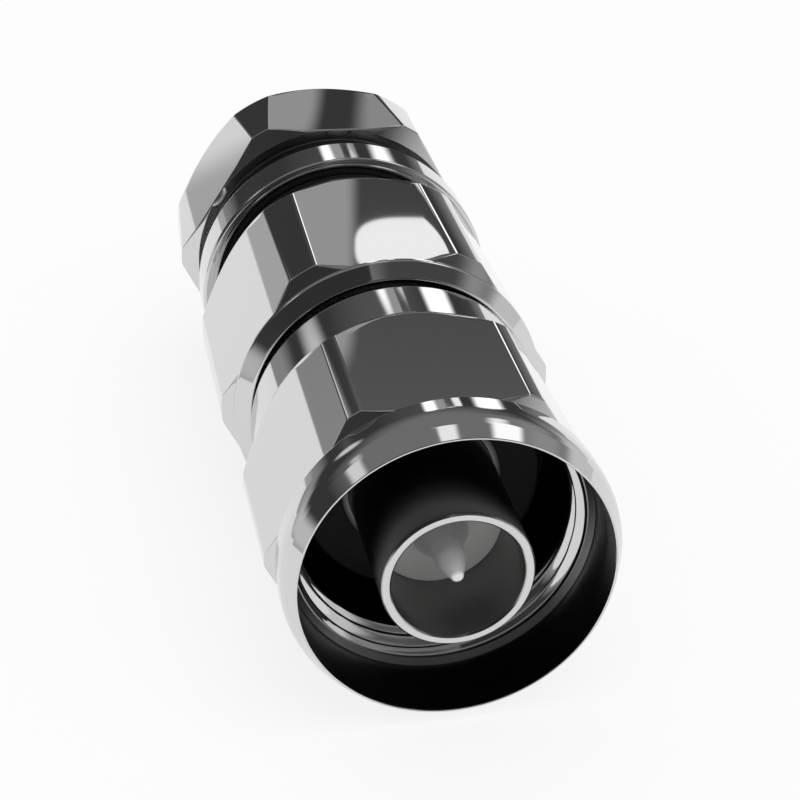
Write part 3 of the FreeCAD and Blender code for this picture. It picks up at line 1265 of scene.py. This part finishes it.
@dataclass(frozen=True)
class Studio:
    """Floor, lamps, surroundings and camera.

    Args:
        floor_z: height of the sheet under the plug, in metres.
        floor_left, floor_reach: where the sheet ends on the left, and elsewhere, in metres.
        dark: radiance of the room.
        horizon: radiance at the horizon, behind the sheet's edge.
        ceiling: radiance overhead.
        horizon_band, ceiling_band: degrees of elevation over which these fade in or out.
        sky: radiance that lights what isn't a mirror.
        suns: the lamps.
        camera_place: the camera, in metres.
        camera_azimuth: degrees by which it stands to the right of the mating end.
        camera_elevation: degrees by which it looks down.
        camera_roll: degrees by which it is rolled to the left.
        focal_px: its focal length, in pixels.
        image_px: the image's width, in pixels.
        patches: what the polished metal reflects, each over the ones before.
    """

    floor_z: float = -9.08 * MM
    floor_left: float = -0.0605
    floor_reach: float = 0.6
    dark: float = 0.05
    horizon: float = 0.24
    ceiling: float = 0.22
    horizon_band: tuple[float, float] = (-1, 5)
    ceiling_band: tuple[float, float] = (22, 42)
    sky: float = 0.6
    suns: tuple[Sun, ...] = (
        Sun("key_lamp", 0.9, 60, (28, 0, 35)),
        Sun("fill_lamp", 0.5, 90, (20, 0, -120)),
    )
    camera_place: tuple[float, float, float] = (-0.02096107, -0.08576732, 0.06264540)
    camera_azimuth: float = -11.7370
    camera_elevation: float = 30.5331
    camera_roll: float = 0.4714
    focal_px: float = 2124.18
    image_px: int = 800
    patches: tuple[Patch, ...] = (
        Patch(95, 3, 50, 14, 0.35, 0.75, 4),  # pale wall on the right
        Patch(95, 30, 45, 12, 0.6, 0.36, 3),  # its dimmer upper part
        Patch(-85, -4, 42, 8, 0.6, 0.7, 4),  # pale wall on the left
        Patch(-150, 40, 45, 22, 0.3, 0.04, 4),  # dark room on the camera's left
        Patch(140, 46, 32, 16, 0.3, 0.08, 4),  # dark room on its right
        Patch(0, -8, 28.9, 5.5, 0.02, 0.5, 10),  # grey border of the table behind the plug
        Patch(0, -7, 24.5, 6, 0.02, 0.9, 10),  # the table
        Patch(6, 25, 4.3, 5, 0.06, 0.42, 8),  # grey panel: the pale part of the body's top flat
        Patch(10, 20.6, 1.7, 2.2, 0.15, 0.4, 4),  # its foot
        Patch(14, 20.8, 1.1, 2.0, 0.3, 0.35, 4),  # a dim panel beside it
        Patch(4.5, 27, 2.2, 3, 0.4, 1.8),  # left lamp: the left highlight on every collar
        Patch(12.05, 26.4, 1.7, 0.78, 0.04, 1.25, 3),  # strip lamp: the bright patch on the body's top flat
        Patch(14.2, 23.3, 1.6, 1.1, 0.2, 1.3),  # small lamp under it
        Patch(24, 18.5, 4, 6.5, 0.35, 1.8),  # right lamp: the right highlight on every collar
        Patch(40, 84, 60, 5, 0.3, 1.2),  # lamp overhead
        Patch(77, 52.5, 25, 8, 0.3, 1.5),  # high lamp on the right
        Patch(-80, 41, 16, 5, 0.4, 0.9),  # high lamp on the left
        Patch(-29, 18, 4.5, 6, 0.5, 0.8),  # lamp far back on the left
    )

    def floor(self) -> None:
        """A pale sheet under the plug that takes its shadow."""
        left, far, z = self.floor_left, self.floor_reach, self.floor_z
        mesh = bpy.data.meshes.new("floor_sheet")
        mesh.from_pydata([(left, -far, z), (far, -far, z), (far, far, z), (left, far, z)], [], [(0, 1, 2, 3)])
        sheet = bpy.data.objects.new("floor_sheet", mesh)
        bpy.context.scene.collection.objects.link(sheet)
        sheet.data.materials.append(PaperSheet("matt white sheet", "#F6F6F6", 0.9).material())

    def lamps(self) -> None:
        """Two broad soft suns that, with the sky, light colours about as they are written."""
        for sun in self.suns:
            data = bpy.data.lights.new(sun.name, "SUN")
            data.energy = sun.strength
            data.angle = math.radians(sun.spread)
            lamp = bpy.data.objects.new(sun.name, data)
            lamp.rotation_euler = tuple(math.radians(angle) for angle in sun.turn)
            lamp.visible_glossy = False
            bpy.context.scene.collection.objects.link(lamp)

    def surroundings(self) -> None:
        """A dark room with pale sides and lamps for reflections, white behind the plug."""
        world = bpy.data.worlds.new("studio")
        bpy.context.scene.world = world
        world.use_nodes = True
        tree = world.node_tree
        tree.nodes.clear()
        way = node(tree, "SeparateXYZ", {0: node(tree, "TexCoord").outputs["Generated"]}).outputs
        azimuth = maths(tree, "ARCTAN2", way["X"], way["Y"])
        elevation = maths(tree, "ARCSINE", way["Z"])
        low = self.ramp(tree, elevation, self.horizon_band, (self.horizon, self.dark))
        high = self.ramp(tree, elevation, self.ceiling_band, (0.0, self.ceiling - self.dark))
        light = maths(tree, "ADD", low, high)
        for patch in self.patches:
            light = self.paint(tree, light, azimuth, elevation, patch)
        ray = node(tree, "LightPath").outputs
        light = blend(tree, ray["Is Diffuse Ray"], light, self.sky)
        seen = maths(tree, "MAXIMUM", ray["Is Camera Ray"], ray["Is Transmission Ray"])
        back = node(tree, "Background", {"Color": blend(tree, seen, light, 1.0), "Strength": 1.0})
        output = node(tree, "OutputWorld")
        tree.links.new(back.outputs[0], output.inputs["Surface"])

    @staticmethod
    def ramp(tree: bpy.types.NodeTree, angle: bpy.types.NodeSocket, degrees: tuple[float, float],
             light: tuple[float, float]) -> bpy.types.NodeSocket:
        """Light that changes steadily with the elevation.

        Args:
            tree: the world's nodes.
            angle: the elevation, in radians.
            degrees: elevation at the lower and upper end.
            light: radiance at the lower and upper end.

        Returns:
            The light.
        """
        ends = {"From Min": math.radians(degrees[0]), "From Max": math.radians(degrees[1])}
        values = {"To Min": light[0], "To Max": light[1]}
        return node(tree, "MapRange", {"Value": angle, **ends, **values}).outputs[0]

    @staticmethod
    def paint(tree: bpy.types.NodeTree, under: bpy.types.NodeSocket, azimuth: bpy.types.NodeSocket,
              elevation: bpy.types.NodeSocket, patch: Patch) -> bpy.types.NodeSocket:
        """Lays one patch over the light so far.

        Args:
            tree: the world's nodes.
            under: the light so far.
            azimuth: the direction's azimuth, in radians.
            elevation: the direction's elevation, in radians.
            patch: what to lay over it.

        Returns:
            The light with the patch.
        """
        powers = []
        sides = ((azimuth, patch.azimuth, patch.width), (elevation, patch.elevation, patch.height))
        for angle, middle, half in sides:
            offset = maths(tree, "SUBTRACT", angle, math.radians(middle))
            share = maths(tree, "ABSOLUTE", maths(tree, "DIVIDE", offset, math.radians(half)))
            powers.append(maths(tree, "POWER", share, patch.corner))
        reach = maths(tree, "POWER", maths(tree, "ADD", *powers), 1 / patch.corner)
        fade = {"From Min": 1 - patch.soft, "From Max": 1 + patch.soft, "To Min": 1.0, "To Max": 0.0}
        inside = node(tree, "MapRange", {"Value": reach, **fade}, interpolation_type="SMOOTHSTEP")
        return blend(tree, inside.outputs[0], under, patch.light)

    def camera(self) -> None:
        """The camera, where the photograph was taken from."""
        data = bpy.data.cameras.new("camera")
        data.sensor_width = 36.0
        data.sensor_fit = "HORIZONTAL"
        data.lens = self.focal_px * data.sensor_width / self.image_px
        data.clip_start = 0.001
        data.clip_end = 20.0
        angles = (self.camera_azimuth, self.camera_elevation, self.camera_roll)
        side, rise, roll = (math.radians(angle) for angle in angles)
        back = Vector((math.cos(rise) * math.sin(side), -math.cos(rise) * math.cos(side), math.sin(rise)))
        turn = back.to_track_quat("Z", "Y") @ Quaternion((0, 0, 1), roll)
        made = bpy.data.objects.new("camera", data)
        made.matrix_world = Matrix.Translation(self.camera_place) @ turn.to_matrix().to_4x4()
        bpy.context.scene.collection.objects.link(made)
        bpy.context.scene.camera = made

    def build(self) -> None:
        """Builds the studio and sets the view transform."""
        self.floor()
        self.lamps()
        self.surroundings()
        self.camera()
        bpy.context.scene.view_settings.view_transform = "Standard"
        log.info("studio: %d patches", len(self.patches))


def main() -> None:
    """Loads the frame, dresses the plug and sets up the studio."""
    logging.basicConfig(level=logging.INFO, format="%(message)s")
    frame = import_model()
    finishes = Finishes()
    finishes.build()
    PackedPieces().build(frame["nodes"], finishes)
    for part in (CouplingNut(), PlugBody(), ClampNut(), CentreContact()):
        for piece in part.build(finishes):
            log.info("%s: %d triangles", piece.name, len(piece.data.polygons))
    Studio().build()


if __name__ == "__main__":
    main()
